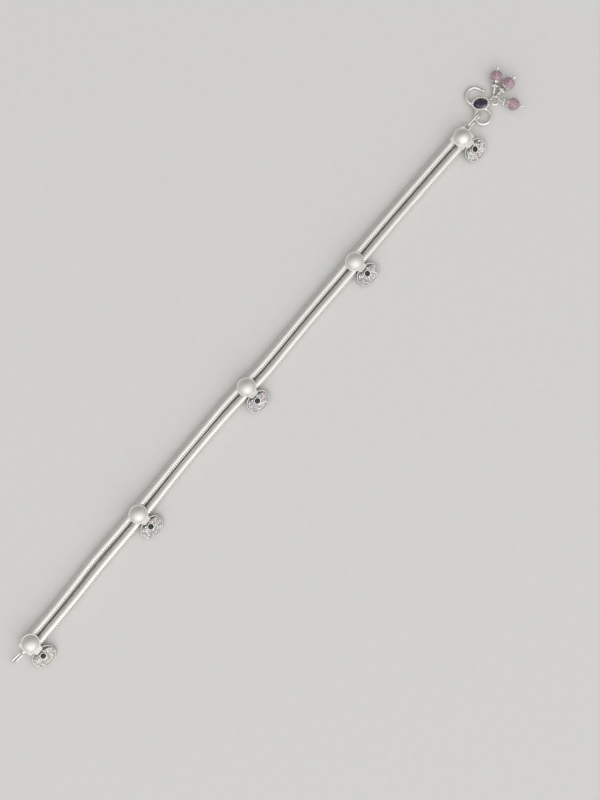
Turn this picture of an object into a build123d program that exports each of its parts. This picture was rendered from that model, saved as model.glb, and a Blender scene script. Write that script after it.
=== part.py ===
from build123d import *
from collections import namedtuple
from math import asin, atan2, cos, degrees, hypot, pi, radians, sin, tan
import os

# A silver payal anklet, unfastened and lying open along X: end loop at -X, hook and drops at +X, charms
# towards -Y. Millimetres, +Z up. The origin is the centre of the middle slider's underside, where it stands.

os.makedirs("parts", exist_ok=True)

# ---------------------------------------------------------------- driving dimensions

chain_diameter = 3.0
chain_spacing = 3.4  # between the two chain axes where a slider holds them
bore_clearance = 0.06  # all round a chain in its bore

base_thickness = 0.3
collar_radius = 3.45
collar_thickness = 0.35
dome_radius = 3.08
dome_height = 2.75
core_length = 5.2
cap_reach = 3.2  # from a cap's centre to its outer end wall
cap_width = 5.8
block_width = 5.2

tongue_width = 3.5  # of the collar's rounded tongue that the strap is bent down from
tongue_reach = 4.3  # from a slider's centre to the tip of its tongue
strap_width = 1.5
strap_reach = 3.5  # from a slider's centre to the inner face of its strap
strap_thickness = 0.36

charm_length = 9.2
charm_width = 7.4
charm_flats = 8.7  # the charm's two ends are cut flat, this far apart
charm_thickness = 0.36
charm_tilt = 24.0
border_width = 0.42

loop_length = 5.4
loop_width = 3.4
loop_wire = 0.75
loop_lean = 20.0
bail_radius = 1.05
bail_wire = 0.8
link_length = 7.1
link_width = 3.3
link_wire = 0.7
link_lean = 14.0

hook_wire = 1.1
open_radius = 3.08
closed_radius = 2.83
setting_length = 6.4
setting_width = 4.9
setting_turn = -37.0
eyelet_radius = 0.85
eyelet_wire = 0.42

split_radius = 1.5
split_wire = 0.38
drop_reach = 1.53  # from the split ring's centre to a drop's loop
drop_loop_radius = 0.75
drop_loop_wire = 0.4
pin_wire = 0.5
neck_radius = 0.46  # of the wire wound round a pin between its loop and its flower
bead_diameter = 4.5
bead_length = 4.0

# Worked out from the sizes above.
chain_radius = chain_diameter / 2
bore_radius = chain_radius + bore_clearance
chain_height = base_thickness + bore_radius  # of the chain axes inside a slider
collar_height = chain_height + chain_radius + 0.1
collar_top = collar_height + collar_thickness

# ---------------------------------------------------------------- tables

# The five domes along the anklet. turn is a slider's heading in degrees. Its charm has slipped sideways on
# the strap by charm_slide, lies charm_reach out from the slider and has swung by charm_turn.
Dome = namedtuple("Dome", "x y turn charm_slide charm_reach charm_turn")
domes = [
    Dome(-116.0, -0.80, 0.0, -0.60, 6.18, -6.0),
    Dome(-58.0, -0.05, 1.0, -0.60, 6.24, 2.0),
    Dome(0.0, 0.00, -5.0, -0.67, 6.21, 0.0),
    Dome(58.0, -0.25, 0.5, -0.25, 6.28, -2.5),
    Dome(116.0, -0.80, -2.0, 0.30, 6.18, 8.0),
]

# The four spans between domes, where the chains sag on to the surface: the pair's middle and the gap
# between its two chains, near the span's first dome and near its second.
Span = namedtuple("Span", "near_y near_gap far_y far_gap")
spans = [
    Span(-0.57, 0.50, 0.04, 0.70),
    Span(0.60, 0.10, 0.64, 0.10),
    Span(-0.31, 0.25, -0.16, 0.25),
    Span(-0.16, 0.40, -0.33, 0.40),
]
entry = 7.0  # where a chain's straight run through a slider ends, from the slider's centre
near_point = 22.0  # the two points of a span that lie on the surface, from its first dome
far_point = 36.0
chain_end = 0.8  # how far a chain runs past a cap's centre, into its blind bore

# The three drops on the split ring: the ring's angle where each hangs, its pin's heading, and the distance
# from its loop to its flower.
Drop = namedtuple("Drop", "name ring_angle heading flower_at")
drops = [
    Drop("a", 60.0, 32.0, 3.7),
    Drop("b", 23.0, -4.0, 2.95),
    Drop("c", -44.0, -69.0, 2.0),
]

# Each ring of a bead's facets: its place along the bead as a share of the length, and its radius as a share
# of the diameter.
Section = namedtuple("Section", "offset radius")
bead_sections = [
    Section(-0.5, 0.233),
    Section(-0.2875, 0.444),
    Section(-0.0875, 0.5),
    Section(0.0875, 0.5),
    Section(0.2875, 0.444),
    Section(0.5, 0.233),
]


# ---------------------------------------------------------------- planes and wires

def dome_plane(dome):
    """The plane a slider stands on, with x along the chains."""
    heading = radians(dome.turn)
    return Plane(origin=(dome.x, dome.y, 0), x_dir=(cos(heading), sin(heading), 0), z_dir=(0, 0, 1))


def across(place, x, y, z):
    """A plane square to the chains: its own x points to +Y and its own y points up."""
    return Plane(origin=place.from_local_coords((x, y, z)), x_dir=place.y_dir, z_dir=place.x_dir)


def along(place, x, y, z):
    """A plane on edge along the chains: its own x runs with them and its own y points up."""
    return Plane(origin=place.from_local_coords((x, y, z)), x_dir=place.x_dir, z_dir=-place.y_dir)


def leaning_plane(centre, heading, lean):
    """The plane of a ring that stands on edge along a heading, leaning back from upright."""
    ahead = Vector(cos(radians(heading)), sin(radians(heading)), 0)
    side = Vector(-sin(radians(heading)), cos(radians(heading)), 0)
    normal = side * -cos(radians(lean)) + Vector(0, 0, sin(radians(lean)))
    return Plane(origin=centre, x_dir=ahead, z_dir=normal)


def add_arc(plane, radius, wire, start, turn):
    """Round wire bent to an arc in a plane, from the start angle through the turn."""
    outward = plane.x_dir.rotate(Axis((0, 0, 0), plane.z_dir), start)
    section = Plane(origin=plane.origin, x_dir=outward, z_dir=plane.z_dir.cross(outward))
    with BuildSketch(section) as profile:
        with Locations((radius, 0)):
            Circle(wire / 2)
    revolve(profile.sketch, axis=Axis(plane.origin, plane.z_dir), revolution_arc=turn)


def add_oval_ring(plane, length, width, wire):
    """A closed oval ring of round wire, its outer length along the plane's x."""
    radius = (width - wire) / 2
    half = (length - width) / 2
    for side in (-1, 1):
        end = Plane(origin=plane.from_local_coords((side * half, 0, 0)), x_dir=plane.x_dir, z_dir=plane.z_dir)
        add_arc(end, radius, wire, -90 * side, 180)
        straight = Plane(origin=plane.from_local_coords((-half, side * radius, 0)), z_dir=plane.x_dir)
        with BuildSketch(straight) as profile:
            Circle(wire / 2)
        extrude(profile.sketch, amount=2 * half)


def write(piece, name):
    """Labels a finished piece and writes its STEP file."""
    piece.part.label = name
    export_step(piece.part, f"parts/{name}.step")


# ---------------------------------------------------------------- chains

def chain_points(side):
    """The route of one chain's axis: side is 1 for the plain side and -1 for the charm side."""
    points = []
    for index, dome in enumerate(domes):
        place = dome_plane(dome)
        first = entry if index > 0 else chain_end
        last = entry if index < len(domes) - 1 else chain_end
        points.append(place.from_local_coords((-first, side * chain_spacing / 2, chain_height)))
        points.append(place.from_local_coords((last, side * chain_spacing / 2, chain_height)))
        if index < len(spans):
            span = spans[index]
            near_y = span.near_y + side * (chain_radius + span.near_gap / 2)
            far_y = span.far_y + side * (chain_radius + span.far_gap / 2)
            points.append(Vector(dome.x + near_point, near_y, chain_radius))
            points.append(Vector(dome.x + far_point, far_y, chain_radius))
    return points


def corner_radii(points):
    """The arc at each corner is as large as its two runs allow."""
    radii = []
    for before, corner, after in zip(points, points[1:], points[2:]):
        turn = radians((corner - before).get_angle(after - corner))
        shorter = min((corner - before).length, (after - corner).length)
        radii.append(0.45 * shorter / tan(turn / 2))
    return radii


def make_chain(name, side):
    points = chain_points(side)
    radii = corner_radii(points)
    with BuildPart() as chain:
        with BuildLine() as route:
            FilletPolyline(*points, radius=radii)
        with BuildSketch(Plane(origin=route.line @ 0, z_dir=route.line % 0)):
            Circle(chain_radius)
        sweep()
    length = sum(edge.length for edge in route.edges())
    ratio = chain.part.volume / (pi * chain_radius**2 * length)
    print(name, "radii", [round(radius) for radius in radii])
    print(name, "length", round(length, 1), "volume over section times length", round(ratio, 4))
    write(chain, name)


make_chain("chain_plain_side", 1)
make_chain("chain_charm_side", -1)


# ---------------------------------------------------------------- sliders and end caps

def add_core(place, bore_from, bore_to):
    """The base plate and the web between the chains, with both bores cut from bore_from to bore_to."""
    with BuildSketch(place) as plate:
        RectangleRounded(core_length + 0.4, cap_width, 0.8)
    extrude(plate.sketch, amount=base_thickness)
    with BuildSketch(place.offset(base_thickness)) as web:
        Rectangle(core_length, chain_spacing - 0.8)
    extrude(web.sketch, amount=collar_height - base_thickness)
    with BuildSketch(across(place, bore_from, 0, chain_height)) as bores:
        with Locations((-chain_spacing / 2, 0), (chain_spacing / 2, 0)):
            Circle(bore_radius)
    extrude(bores.sketch, amount=bore_to - bore_from, mode=Mode.SUBTRACT)


def add_dome(place):
    """The satin half-ball on top of the collar."""
    ball_radius = (dome_radius**2 + dome_height**2) / (2 * dome_height)
    ball_start = degrees(asin(1 - dome_height / ball_radius))
    with BuildSketch(along(place, 0, 0, collar_top)) as profile:
        with BuildLine():
            Line((0, 0), (dome_radius, 0))
            CenterArc((0, dome_height - ball_radius), ball_radius, ball_start, 90 - ball_start)
            Line((0, dome_height), (0, 0))
        make_face()
    revolve(profile.sketch, axis=Axis(place.origin, (0, 0, 1)))


def add_strap(place):
    """The strap a charm hangs on: a tongue of the collar, and the narrower strap that is bent down from it,
    through the charm's slot, and back in. The tongue's edge is stepped at its top."""
    outer = strap_reach + strap_thickness
    for step, inset in ((0.22, 0), (collar_thickness, 0.12)):
        with BuildSketch(place.offset(collar_height)) as tongue:
            with Locations((0, -(tongue_reach - inset) / 2)):
                RectangleRounded(tongue_width - 2 * inset, tongue_reach - inset, 0.8)
        extrude(tongue.sketch, amount=step)
    with BuildSketch(across(place, -strap_width / 2, 0, 0)) as strap:
        with BuildLine():
            Polyline(
                (-strap_reach, collar_height + 0.1),
                (-strap_reach, 2.62),
                (-3.04, 2.80),
                (-3.04, 2.67),
                (-3.34, 2.26),
                (-outer, 2.26),
                (-outer, collar_height + 0.1),
                close=True,
            )
        make_face()
    extrude(strap.sketch, amount=strap_width)


def make_slider(name, dome):
    place = dome_plane(dome)
    with BuildPart() as slider:
        add_core(place, -5, 5)
        with BuildSketch(place.offset(collar_height)):
            Circle(collar_radius)
        extrude(amount=collar_thickness)
        chamfer(slider.edges().filter_by(GeomType.CIRCLE).sort_by(Axis.Z)[-1], 0.12)
        add_dome(place)
        add_strap(place)
    write(slider, name)


def add_cap_body(place, outward):
    """A cap is a slider closed by an end block, with square corners that show past its dome."""
    block_length = cap_reach - 1.0
    with BuildSketch(place) as block:
        with Locations((outward * (cap_reach - block_length / 2), 0)):
            RectangleRounded(block_length, block_width, 0.6)
    extrude(block.sketch, amount=collar_height)
    with BuildSketch(place.offset(collar_height)) as collar:
        Circle(collar_radius)
        with Locations((outward * cap_reach / 2, 0)):
            RectangleRounded(cap_reach, cap_width, 0.6)
    extrude(collar.sketch, amount=collar_thickness)


for number, dome in enumerate(domes[1:-1], start=1):
    make_slider(f"slider_dome_{number}", dome)

with BuildPart() as end_cap_loop:
    loop_place = dome_plane(domes[0])
    add_core(loop_place, -chain_end - 0.4, 5)
    add_cap_body(loop_place, -1)
    add_dome(loop_place)
    add_strap(loop_place)
    # Granules round the dome's foot on the loop's side, and the neck and loop soldered below them.
    with Locations(loop_place.offset(collar_top + 0.1)):
        with PolarLocations(3.0, 5, 128, 104, endpoint=True):
            Sphere(0.38)
    loop_rise = (loop_width - loop_wire) / 2 * cos(radians(loop_lean)) + loop_wire / 2 + 0.02
    with BuildSketch(across(loop_place, -cap_reach - 1.3, 0.2, loop_rise)):
        Circle(0.75)
    extrude(amount=1.5)
    loop_centre = loop_place.from_local_coords((-cap_reach - 1.0 - loop_length / 2, 0.5, loop_rise))
    add_oval_ring(leaning_plane(loop_centre, -7, loop_lean), loop_length, loop_width, loop_wire)
write(end_cap_loop, "end_cap_loop")

link_rise = (link_width - link_wire) / 2 * cos(radians(link_lean)) + link_wire / 2 + 0.01
with BuildPart() as end_cap_bail:
    bail_place = dome_plane(domes[-1])
    add_core(bail_place, -5, chain_end + 0.4)
    add_cap_body(bail_place, 1)
    # Two round lips of the collar over the chains.
    with BuildSketch(bail_place.offset(collar_height)):
        with Locations((-2.55, 1.55), (-2.55, -1.85)):
            Circle(1.35)
    extrude(amount=collar_thickness)
    add_dome(bail_place)
    add_strap(bail_place)
    with Locations(bail_place.from_local_coords((4.42, 1.30, link_rise))):
        Torus(bail_radius, bail_wire / 2)
write(end_cap_bail, "end_cap_bail")

# ---------------------------------------------------------------- charms

slot_foot = 2.3  # from the charm's middle to the slot
slot_start = -1.7
field_height = 0.42
tube_radius = 1.3
tube_height = 0.7
tube_shift = 0.6  # from the charm's centre towards the slot
seat_radius = 0.98
seat_height = 0.25  # of the stone's seat above the charm's middle plane
stone_radius = 0.93

with BuildSketch() as charm_outline:
    Ellipse(charm_length / 2, charm_width / 2)
    Rectangle(charm_flats, charm_width + 1, mode=Mode.INTERSECT)

# The sickle-shaped slot that the strap passes through, between the border and the paved field. It is cut from
# slot_start, left of the charm's middle, nearly to its right end.
with BuildSketch() as charm_slot:
    Ellipse(charm_length / 2 - border_width, charm_width / 2 - border_width)
    Ellipse(charm_length / 2 + 0.1, slot_foot, mode=Mode.SUBTRACT)
    with Locations((slot_start + 2.7, 5)):
        Rectangle(5.4, 10, mode=Mode.INTERSECT)

# The paved field, which stops short of the border and of the slot.
with BuildSketch() as charm_field:
    Ellipse(charm_length / 2 - border_width - 0.2, charm_width / 2 - border_width - 0.2)
    with BuildSketch(mode=Mode.SUBTRACT):
        with Locations((slot_start + 5 - 0.2, 5)):
            Rectangle(10, 10)
        Ellipse(charm_length / 2 + 0.1, slot_foot - 0.2, mode=Mode.SUBTRACT)


def charm_plane(dome):
    """A charm slopes from under the collar down to the surface: its own y points back to the chain."""
    place = dome_plane(dome)
    tilt = radians(charm_tilt)
    swing = radians(dome.charm_turn)
    half_depth = hypot(charm_flats / 2 * sin(swing), charm_width / 2 * cos(swing))
    height = half_depth * sin(tilt) + charm_thickness / 2 * cos(tilt) + 0.01
    centre = place.from_local_coords((dome.charm_slide, -dome.charm_reach, height))
    normal = place.y_dir * -sin(tilt) + Vector(0, 0, cos(tilt))
    sideways = place.x_dir.rotate(Axis((0, 0, 0), normal), dome.charm_turn)
    return Plane(origin=centre, x_dir=sideways, z_dir=normal)


def make_charm(number, dome):
    place = charm_plane(dome)
    top = charm_thickness / 2
    with BuildPart() as charm:
        with BuildSketch(place.offset(-top)):
            add(charm_outline.sketch)
            add(charm_slot.sketch, mode=Mode.SUBTRACT)
        extrude(amount=charm_thickness)
        with BuildSketch(place.offset(top)):
            add(charm_field.sketch)
        extrude(amount=field_height)
        with BuildSketch(place.offset(top)):
            with Locations((0, tube_shift)):
                Circle(tube_radius)
        extrude(amount=tube_height)
        with BuildSketch(place.offset(seat_height)):
            with Locations((0, tube_shift)):
                Circle(seat_radius)
        extrude(amount=2, mode=Mode.SUBTRACT)
    write(charm, f"charm_{number}")

    with BuildPart() as stone:
        with BuildSketch(place.offset(seat_height + 0.03)):
            with Locations((0, tube_shift)):
                Circle(stone_radius)
        extrude(amount=0.8)
        fillet(stone.edges().group_by(Axis(place.origin, place.z_dir))[-1], 0.45)
    write(stone, f"charm_stone_{number}")


for number, dome in enumerate(domes, start=1):
    make_charm(number, dome)

# ---------------------------------------------------------------- oval link

with BuildPart() as oval_link:
    link_plane = leaning_plane((123.84, 0.11, link_rise), -4, link_lean)
    add_oval_ring(link_plane, link_length, link_width, link_wire)
write(oval_link, "oval_link")

# ---------------------------------------------------------------- hook and its stone

# The hook rests on the link at one side and on the surface at the other, so its plane slopes a little.
hook_slope = 3.9
downhill = Vector(0.66, 0.75, 0).normalized()
hook_normal = downhill * sin(radians(hook_slope)) + Vector(0, 0, cos(radians(hook_slope)))
hook_ahead = (Vector(1, 0, 0) - hook_normal * hook_normal.X).normalized()
hook_place = Plane(origin=(129.76, 2.20, 1.00), x_dir=hook_ahead, z_dir=hook_normal)
setting_ahead = hook_ahead.rotate(Axis((0, 0, 0), hook_normal), setting_turn)
setting_place = Plane(origin=hook_place.origin, x_dir=setting_ahead, z_dir=hook_normal)


def hook_plane(x, y):
    """The hook's plane, moved to a point of it."""
    return Plane(origin=hook_place.from_local_coords((x, y, 0)), x_dir=hook_place.x_dir, z_dir=hook_normal)


def oval_points(length, width, height, count):
    """Points of the setting spaced evenly along an oval."""
    rim = Edge.make_ellipse(length / 2, width / 2)
    places = [rim.position_at(step / count) for step in range(count)]
    return [setting_place.from_local_coords((place.X, place.Y, height)) for place in places]


plate_bottom = 0.35
plate_top = 0.9
wall_top = 1.45
stone_length = 5.04
stone_width = 3.54
split_centre = Vector(134.18, -0.81, 0.98)

with BuildPart() as s_hook:
    # The open hook with its ball end, and the closed hook that holds the link.
    open_place = hook_plane(1.12, 3.40)
    add_arc(open_place, open_radius, hook_wire, -15, 275)
    with Locations(open_place.from_local_coords((3.40, -0.95, 0.05))):
        Sphere(0.64)
    with Locations(hook_plane(-2.72, -3.45)):
        Torus(closed_radius, hook_wire / 2)
    # The setting: base plate, bezel wall, granule border and the stone's seat.
    with BuildSketch(setting_place.offset(plate_bottom)):
        Ellipse(setting_length / 2, setting_width / 2)
    extrude(amount=plate_top - plate_bottom)
    with BuildSketch(setting_place.offset(plate_top)):
        Ellipse(setting_length / 2 - 0.4, setting_width / 2 - 0.4)
    extrude(amount=wall_top - plate_top)
    with Locations(*oval_points(setting_length - 0.5, setting_width - 0.5, 1.2, 20)):
        Sphere(0.42)
    with BuildSketch(setting_place.offset(plate_top)):
        Ellipse(stone_length / 2 + 0.06, stone_width / 2 + 0.06)
    extrude(amount=2, mode=Mode.SUBTRACT)
    # The eyelet that carries the split ring.
    with Locations(leaning_plane((133.30, 0.45, 1.09), -45, 0)):
        Torus(eyelet_radius, eyelet_wire / 2)
write(s_hook, "s_hook")

# Each ring of the stone's facets: height, then the share of the girdle's length and width.
Facets = namedtuple("Facets", "height length width")
facet_rings = [
    Facets(0.96, 0.86, 0.84),
    Facets(1.3, 1.0, 1.0),
    Facets(1.5, 1.0, 1.0),
    Facets(2.0, 0.86, 0.82),
    Facets(2.35, 0.62, 0.56),
]
with BuildPart() as hook_stone:
    for ring in facet_rings:
        with BuildSketch(setting_place.offset(ring.height)):
            corners = [
                (
                    stone_length / 2 * ring.length * cos(radians(22.5 * step)),
                    stone_width / 2 * ring.width * sin(radians(22.5 * step)),
                )
                for step in range(16)
            ]
            Polygon(*corners)
    loft(ruled=True)
write(hook_stone, "hook_stone")

# ---------------------------------------------------------------- split ring

# Its two coils lie one on the other, the upper one a little to one side.
with BuildPart() as split_ring:
    with Locations(split_centre + Vector(-0.06, -0.05, -0.16), split_centre + Vector(0.06, 0.05, 0.16)):
        Torus(split_radius, split_wire / 2)
write(split_ring, "split_ring")


# ---------------------------------------------------------------- drops

def drop_axis(drop):
    """The plane square to a drop's pin at the centre of its loop, pointing along the pin. The drop hangs
    from the split ring and rests on its bead."""
    rest = drop.flower_at + 3.3 - 0.35
    tilt = atan2(bead_diameter / 2, rest) - asin(0.96 / hypot(rest, bead_diameter / 2))
    heading = radians(drop.heading)
    angle = radians(drop.ring_angle)
    centre = split_centre + Vector(drop_reach * cos(angle), drop_reach * sin(angle), 0)
    ahead = Vector(cos(tilt) * cos(heading), cos(tilt) * sin(heading), sin(tilt))
    side = Vector(-sin(heading), cos(heading), 0)
    return Plane(origin=centre, x_dir=side, z_dir=ahead)


def add_rod(axis_plane, start, end, radius):
    with BuildSketch(axis_plane.offset(start)) as section:
        Circle(radius)
    extrude(section.sketch, amount=end - start)


def make_drop(drop):
    base = drop_axis(drop)
    flower_at = drop.flower_at
    bead_at = flower_at + 3.3

    with BuildPart() as pin:
        with Locations(Plane(origin=base.origin, x_dir=base.z_dir, z_dir=base.x_dir)):
            Torus(drop_loop_radius, drop_loop_wire / 2)
        add_rod(base, drop_loop_radius, bead_at + 2.2, pin_wire / 2)
        add_rod(base, drop_loop_radius + 0.1, flower_at - 0.6, neck_radius)
        # The long ball at its tip.
        add_rod(base, bead_at + 2.55, bead_at + 3.15, 0.47)
        with Locations(base.offset(bead_at + 2.55), base.offset(bead_at + 3.15)):
            Sphere(0.47)
    write(pin, f"drop_pin_{drop.name}")

    with BuildPart() as flower:
        add_rod(base, flower_at - 0.35, flower_at + 0.35, 0.8)
        with Locations(base.offset(flower_at)):
            with PolarLocations(0.9, 6):
                Sphere(0.45)
        with BuildSketch(base.offset(flower_at - 1)):
            Circle(pin_wire / 2 + 0.1)
        extrude(amount=2, mode=Mode.SUBTRACT)
    write(flower, f"drop_flower_{drop.name}")

    # The cap: a thin cup whose rim is notched into petals.
    with BuildPart() as cap:
        with BuildSketch(Plane(origin=base.offset(bead_at).origin, x_dir=base.x_dir, z_dir=-base.y_dir)):
            with BuildLine():
                Polyline(
                    (0.35, -2.5),
                    (0.6, -2.5),
                    (1.35, -2.2),
                    (1.95, -1.5),
                    (1.75, -1.42),
                    (1.2, -1.98),
                    (0.6, -2.22),
                    (0.35, -2.22),
                    close=True,
                )
            make_face()
        revolve(axis=Axis(base.origin, base.z_dir))
        with BuildSketch(base.offset(bead_at - 3)):
            with PolarLocations(2.05, 8):
                Circle(0.32)
        extrude(amount=2.5, mode=Mode.SUBTRACT)
    write(cap, f"drop_cap_{drop.name}")

    with BuildPart() as bead:
        for section in bead_sections:
            with BuildSketch(base.offset(bead_at + section.offset * bead_length)):
                RegularPolygon(section.radius * bead_diameter, 12)
        loft(ruled=True)
        with BuildSketch(base.offset(bead_at - 3)):
            Circle(pin_wire / 2 + 0.1)
        extrude(amount=6, mode=Mode.SUBTRACT)
    write(bead, f"drop_bead_{drop.name}")


for drop in drops:
    make_drop(drop)
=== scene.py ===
from collections import namedtuple
from math import asin, atan2, cos, exp, hypot, pi, radians, sin

import bpy
from bpy.props import FloatProperty, FloatVectorProperty, IntProperty, PointerProperty
from mathutils import Matrix, Vector


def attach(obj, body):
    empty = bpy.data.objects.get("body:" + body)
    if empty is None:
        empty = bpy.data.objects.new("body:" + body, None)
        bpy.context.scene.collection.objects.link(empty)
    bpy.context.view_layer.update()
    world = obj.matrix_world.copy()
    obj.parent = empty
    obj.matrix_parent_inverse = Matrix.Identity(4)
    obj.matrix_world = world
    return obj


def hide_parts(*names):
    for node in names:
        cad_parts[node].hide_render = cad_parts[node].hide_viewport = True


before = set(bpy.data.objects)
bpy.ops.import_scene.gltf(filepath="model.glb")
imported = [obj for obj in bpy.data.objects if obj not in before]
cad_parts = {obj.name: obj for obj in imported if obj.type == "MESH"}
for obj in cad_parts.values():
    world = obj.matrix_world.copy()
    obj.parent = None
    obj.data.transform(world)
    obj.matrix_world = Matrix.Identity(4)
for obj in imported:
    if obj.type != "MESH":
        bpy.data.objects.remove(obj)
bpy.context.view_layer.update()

bl_info = {
    "name": "Payal Anklet",
    "version": (1, 0, 0),
    "blender": (4, 5, 0),
    "location": "3D Viewport > Sidebar > Payal",
    "description": "Finishes a silver payal anklet: woven chains, satin domes, paved charms, hook and drops",
    "category": "Add Mesh",
}

MM = 0.001


def linear(code):
    """An sRGB hex colour as the linear red, green and blue that Blender works in."""
    channels = [int(code[i : i + 2], 16) / 255 for i in (0, 2, 4)]
    return tuple(c / 12.92 if c <= 0.04045 else ((c + 0.055) / 1.055) ** 2.4 for c in channels)


# ------------------------------------------------------------------------------------------------
# Where things are: the same places as the solids have, in millimetres. X runs along the anklet.

Dome = namedtuple("Dome", "x y turn charm_slide charm_reach charm_turn")
DOMES = (
    Dome(-116.0, -0.80, 0.0, -0.60, 6.18, -6.0),
    Dome(-58.0, -0.05, 1.0, -0.60, 6.24, 2.0),
    Dome(0.0, 0.00, -5.0, -0.67, 6.21, 0.0),
    Dome(58.0, -0.25, 0.5, -0.25, 6.28, -2.5),
    Dome(116.0, -0.80, -2.0, 0.30, 6.18, 8.0),
)

Span = namedtuple("Span", "near_y near_gap far_y far_gap")
SPANS = (
    Span(-0.57, 0.50, 0.04, 0.70),
    Span(0.60, 0.10, 0.64, 0.10),
    Span(-0.31, 0.25, -0.16, 0.25),
    Span(-0.16, 0.40, -0.33, 0.40),
)

Chain = namedtuple("Chain", "name node side roll")
CHAINS = (
    # roll: how far the seam of the weave is turned from the top, towards the charms.
    Chain("chain_weave_plain", "chain_plain_side", 1, 38.0),
    Chain("chain_weave_charm", "chain_charm_side", -1, 52.0),
)

Drop = namedtuple("Drop", "name ring_angle heading flower_at")
DROPS = (
    Drop("a", 60.0, 32.0, 3.7),
    Drop("b", 23.0, -4.0, 2.95),
    Drop("c", -44.0, -69.0, 2.0),
)

# The patches of tinted stones on the charms: the patch's middle on the charm, its reach, and its tint.
Tint = namedtuple("Tint", "charm x y reach kind")
TINTS = (
    Tint(1, 0.0, -1.6, 2.2, "cream"),
    Tint(2, 2.9, 0.3, 1.3, "peach"),
    Tint(3, 2.9, 0.1, 1.5, "lilac"),
    Tint(3, -2.6, -0.2, 1.6, "lilac"),
    Tint(4, 2.9, 0.1, 1.3, "lilac"),
    Tint(4, -2.6, -0.4, 1.5, "lilac"),
    Tint(5, 2.7, 0.85, 0.5, "plum"),
    Tint(5, -0.7, -1.5, 1.1, "peach"),
)

TINT_CODES = {"clear": "F4F3F1", "cream": "F2ECDF", "peach": "EEDCD3", "lilac": "E2D3DD", "plum": "7A5468"}

CHAIN_RADIUS = 1.5
CHAIN_SPACING = 3.4  # between the two chain axes where a slider holds them
CHAIN_HEIGHT = 1.86  # of the chain axes inside a slider
ENTRY = 7.0  # where a chain's straight run through a slider ends, from the slider's centre
CHAIN_END = 0.8  # how far a chain runs past a cap's centre, into its blind bore
NEAR_POINT = 22.0  # the two points of a span that lie on the surface, from its first dome
FAR_POINT = 36.0
DOME_FOOT = 3.84  # the height at which a satin dome starts, just above its collar

CHARM_TILT = 24.0
CHARM_FLATS = 8.7  # between the charm's two ends, which are cut flat
CHARM_LENGTH = 9.2
CHARM_WIDTH = 7.4
CHARM_THICKNESS = 0.36
FIELD_HALF = (4.0, 3.1)  # half the paved field's length and width
FIELD_RISE = 0.42  # of the paved field above the plate
SLOT_HALF = (4.7, 2.2)  # the oval that the slot's inner edge follows
SLOT_START = -1.9  # the slot's end, along the charm
TUBE_SHIFT = 0.6  # of the tube setting, from the charm's middle towards its slot
TUBE_RISE = 0.68  # of the tube setting's lip above the plate
TUBE_CLEAR = 1.3  # the radius round the tube setting's middle that is left free of stones
LIP_RADIUS = 1.13
LIP_WIRE = 0.17

STONE_LENGTH = 5.04  # of the hook's stone
STONE_WIDTH = 3.54
SETTING_CENTRE = Vector((129.76, 2.20, 1.00))
SETTING_DOWNHILL = Vector((0.66, 0.75, 0))  # the way in which the hook's setting slopes down
SETTING_SLOPE = 3.9
SETTING_TURN = -37.0  # of the setting's length, from the anklet's
SPLIT_CENTRE = Vector((134.18, -0.81, 0.98))
DROP_REACH = 1.53  # from the split ring's centre to a drop's loop
LOOP_RISE = 0.96  # of a drop's loop above the point that its bead rests on
BEAD_AT = 3.3  # from a drop's flower to the middle of its bead
BEAD_FOOT = 0.35  # from the middle of a bead back to the ring that it rests on
BEAD_RADIUS = 2.25
WINDING_AT = 0.95  # where the wire wound round a pin's neck starts
WINDING_FREE = 1.55  # the part of a pin before its flower that isn't wound
WINDING_WIRE = 0.3

BUFFED_ROUGHNESS = 0.2  # of the buffed parts of a piece that is satin elsewhere


def place(origin, ahead, up):
    """The matrix of a place: its own X runs ahead, its own Z points up. The origin is in millimetres."""
    ahead, up = ahead.normalized(), up.normalized()
    side = up.cross(ahead)
    turned = Matrix((ahead, side, up)).transposed().to_4x4()
    return Matrix.Translation(origin * MM) @ turned


def dome_place(dome):
    heading = radians(dome.turn)
    return place(Vector((dome.x, dome.y, 0)), Vector((cos(heading), sin(heading), 0)), Vector((0, 0, 1)))


def charm_place(dome):
    """A charm slopes down from its strap to the surface: its own Y points back to the chains."""
    base = dome_place(dome)
    tilt, swing = radians(CHARM_TILT), radians(dome.charm_turn)
    half_depth = hypot(CHARM_FLATS / 2 * sin(swing), CHARM_WIDTH / 2 * cos(swing))
    height = half_depth * sin(tilt) + CHARM_THICKNESS / 2 * cos(tilt) + 0.01
    side = base.col[1].to_3d()
    up = side * -sin(tilt) + Vector((0, 0, cos(tilt)))
    ahead = Matrix.Rotation(swing, 3, up) @ base.col[0].to_3d()
    centre = base @ (Vector((dome.charm_slide, -dome.charm_reach, height)) * MM)
    return place(centre / MM, ahead, up)


def setting_place():
    """The oval setting between the two hooks."""
    slope = radians(SETTING_SLOPE)
    up = SETTING_DOWNHILL.normalized() * sin(slope) + Vector((0, 0, cos(slope)))
    ahead = (Vector((1, 0, 0)) - up * up.x).normalized()
    return place(SETTING_CENTRE, Matrix.Rotation(radians(SETTING_TURN), 3, up) @ ahead, up)


def drop_place(drop, along):
    """A point of a drop's pin, that far along it from its loop, with Z along the pin."""
    rest = drop.flower_at + BEAD_AT - BEAD_FOOT
    tilt = atan2(BEAD_RADIUS, rest) - asin(LOOP_RISE / hypot(rest, BEAD_RADIUS))
    heading, angle = radians(drop.heading), radians(drop.ring_angle)
    loop = SPLIT_CENTRE + Vector((cos(angle), sin(angle), 0)) * DROP_REACH
    ahead = Vector((cos(tilt) * cos(heading), cos(tilt) * sin(heading), sin(tilt)))
    side = Vector((-sin(heading), cos(heading), 0))
    return place(loop + ahead * along, side, ahead)


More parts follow.
